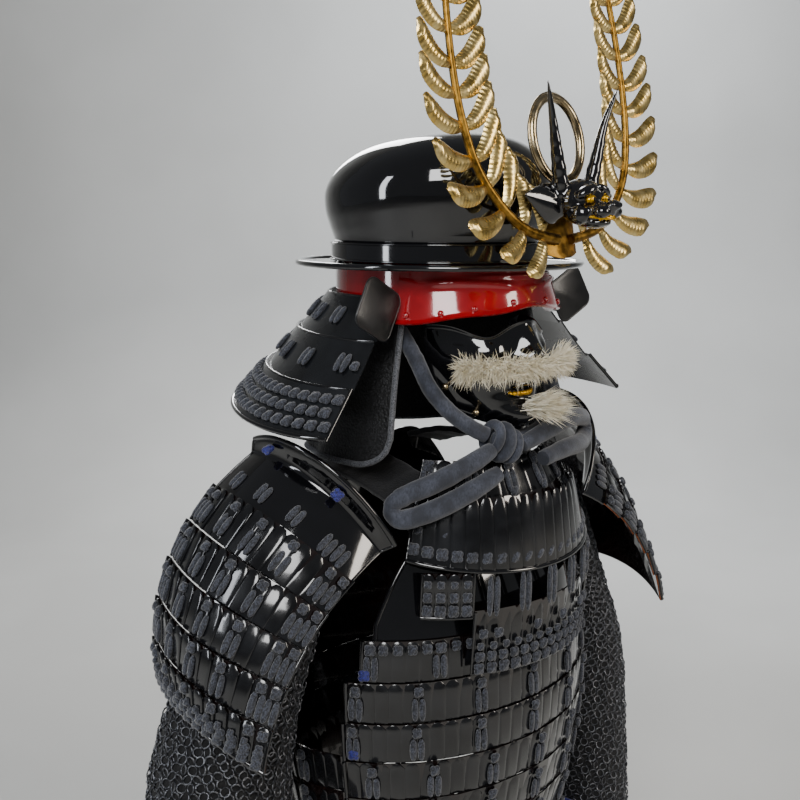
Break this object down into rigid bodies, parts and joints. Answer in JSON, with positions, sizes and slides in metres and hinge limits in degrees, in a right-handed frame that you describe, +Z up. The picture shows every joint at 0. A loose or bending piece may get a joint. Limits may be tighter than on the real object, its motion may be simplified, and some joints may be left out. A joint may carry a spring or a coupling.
{
  "type": "samurai armour",
  "caption": "Suit of laced lame armour with a brimmed helmet and leaf crest, face mask, throat guard, cuirass with tassets, shoulder guards and mail sleeves.",
  "frame": {"origin": "middle of the shoulders, inside the cuirass, where the wearer carries the suit", "axes": "+Z up, -Y the way the suit faces, +X towards its left arm"},
  "size_m": [0.6382, 0.4119, 1.2662],
  "materials": {
    "lacquer": "high gloss black lacquer",
    "red_lacquer": "high gloss red lacquer",
    "leather": "satin black lacquered leather",
    "cloth": "matt black cloth with fine mail",
    "cord": "padded slate blue cotton",
    "gold": "satin gilded",
    "bronze": "satin bronze",
    "mail": "blackened steel mail on black cloth",
    "hair": "cream bristle"
  },
  "bodies": {
    "root": {"helmet_bowl": "lacquer", "helmet_band": "lacquer", "helmet_brim": "lacquer", "brow_band": "red_lacquer", "visor": "red_lacquer", "neck_lame_1": "lacquer", "neck_lame_2": "lacquer", "neck_lame_3": "lacquer", "turnback_right": "leather", "turnback_left": "leather", "neck_curtain": "cloth", "leaf_branch_right": "gold", "leaf_branch_left": "gold", "crest_holder": "gold", "crest_ring": "bronze", "beast_head": "lacquer", "mask": "lacquer", "moustache": "hair", "beard": "hair", "cord_right": "cord", "cord_left": "cord", "cord_knot": "cord", "cord_bow_right": "cord", "cord_bow_left": "cord", "throat_collar": "lacquer", "throat_flap_right": "lacquer", "throat_front": "lacquer", "throat_flap_left": "lacquer", "breast_plate": "lacquer", "chest_lame_1": "lacquer", "chest_lame_2": "lacquer", "chest_lame_3": "lacquer", "back_plate": "lacquer", "back_lames": "lacquer", "body_lame_1": "lacquer", "body_lame_2": "lacquer", "waist_lames": "lacquer", "shoulder_strap_right": "cloth", "shoulder_strap_left": "cloth", "tasset_1": "lacquer", "tasset_2": "lacquer", "tasset_3": "lacquer", "tasset_4": "lacquer", "tasset_5": "lacquer", "tasset_6": "lacquer", "tasset_7": "lacquer", "shoulder_plate_right": "lacquer", "shoulder_lame_right_1": "lacquer", "shoulder_lame_right_2": "lacquer", "shoulder_lame_right_3": "lacquer", "shoulder_lame_right_4": "lacquer", "shoulder_lame_right_5": "lacquer", "shoulder_plate_left": "lacquer", "shoulder_lame_left_1": "lacquer", "shoulder_lame_left_2": "lacquer", "shoulder_lame_left_3": "lacquer", "shoulder_lame_left_4": "lacquer", "shoulder_lame_left_5": "lacquer", "sleeve_right": "mail", "sleeve_left": "mail"}
  },
  "joints": []
}
